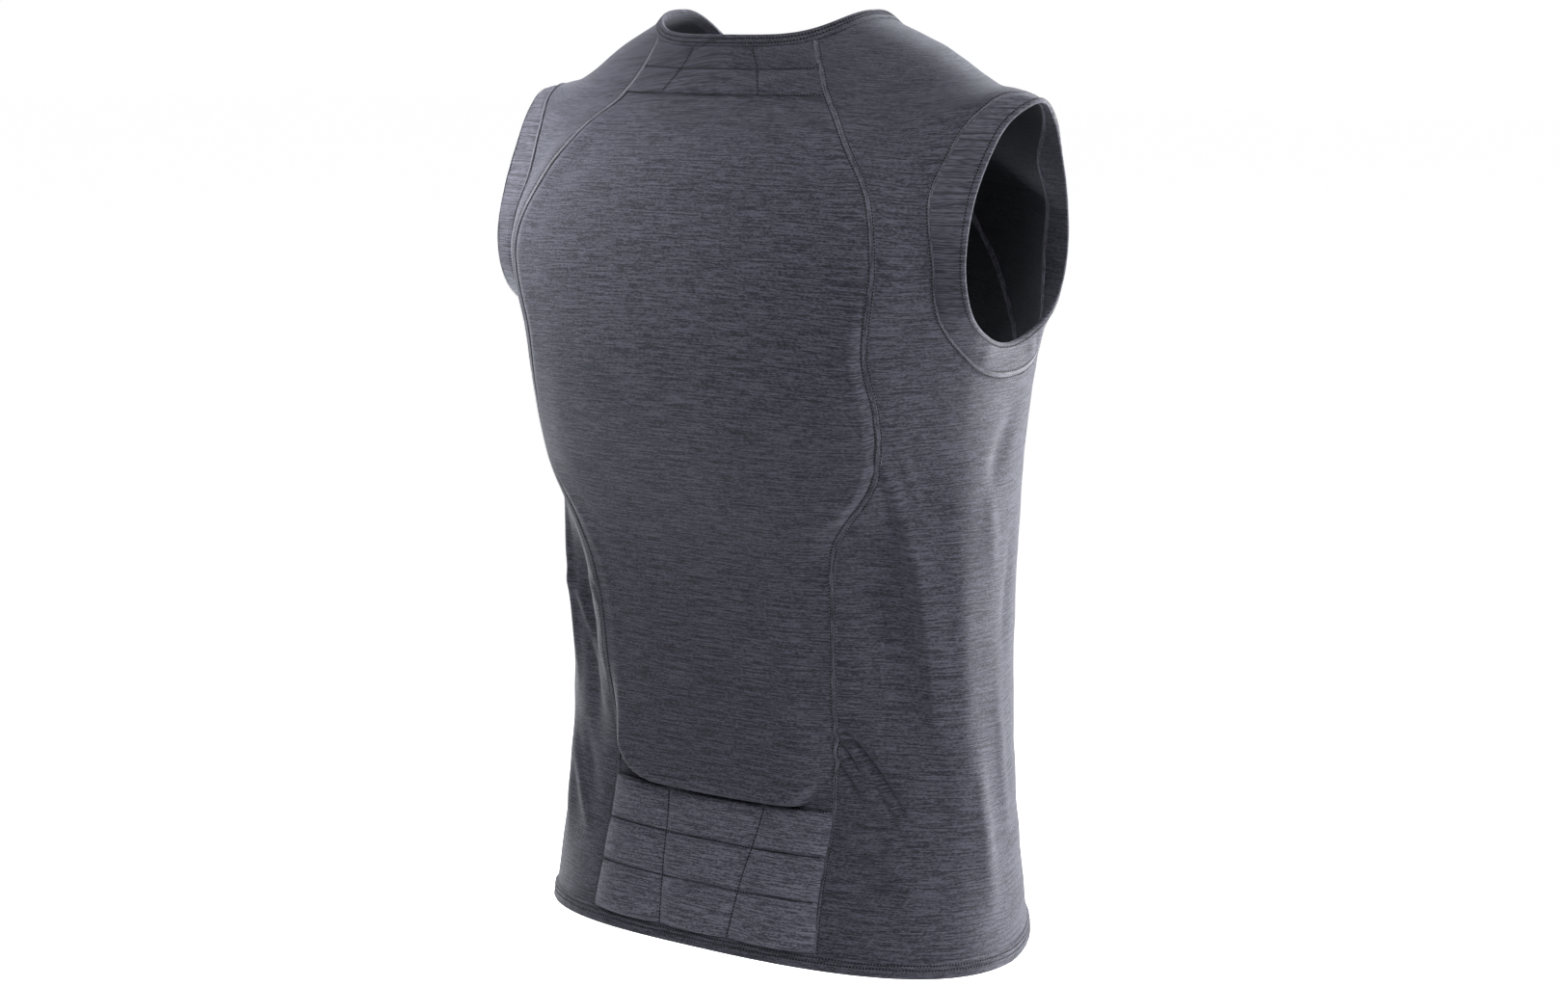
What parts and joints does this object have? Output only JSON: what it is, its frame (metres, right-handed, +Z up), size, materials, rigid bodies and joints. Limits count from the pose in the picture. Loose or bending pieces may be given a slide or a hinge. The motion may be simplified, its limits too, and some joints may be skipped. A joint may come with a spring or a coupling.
{
  "type": "protector vest",
  "caption": "Sleeveless close-fitting protector vest with a long padded back panel, quilted yoke and lumbar pad, wrap-round side panels and folded bands at neck, armholes and hem.",
  "frame": {"origin": "midway between the two points of the shoulders beside the neck, where the vest hangs from its wearer", "axes": "+Z up, +Y towards the wearer's back, +X towards the wearer's left"},
  "size_m": [0.4268, 0.2496, 0.6653],
  "materials": {
    "panel_cloth": "matt heathered jersey",
    "band_cloth": "matt folded jersey"
  },
  "bodies": {
    "root": {"back_panel": "panel_cloth", "upper_back_pad": "panel_cloth", "lumbar_pad": "panel_cloth", "front_panel": "panel_cloth", "side_panel_left": "panel_cloth", "side_panel_right": "panel_cloth", "armhole_band_left": "band_cloth", "armhole_band_right": "band_cloth", "neck_binding": "band_cloth", "hem_band": "band_cloth"}
  },
  "joints": []
}
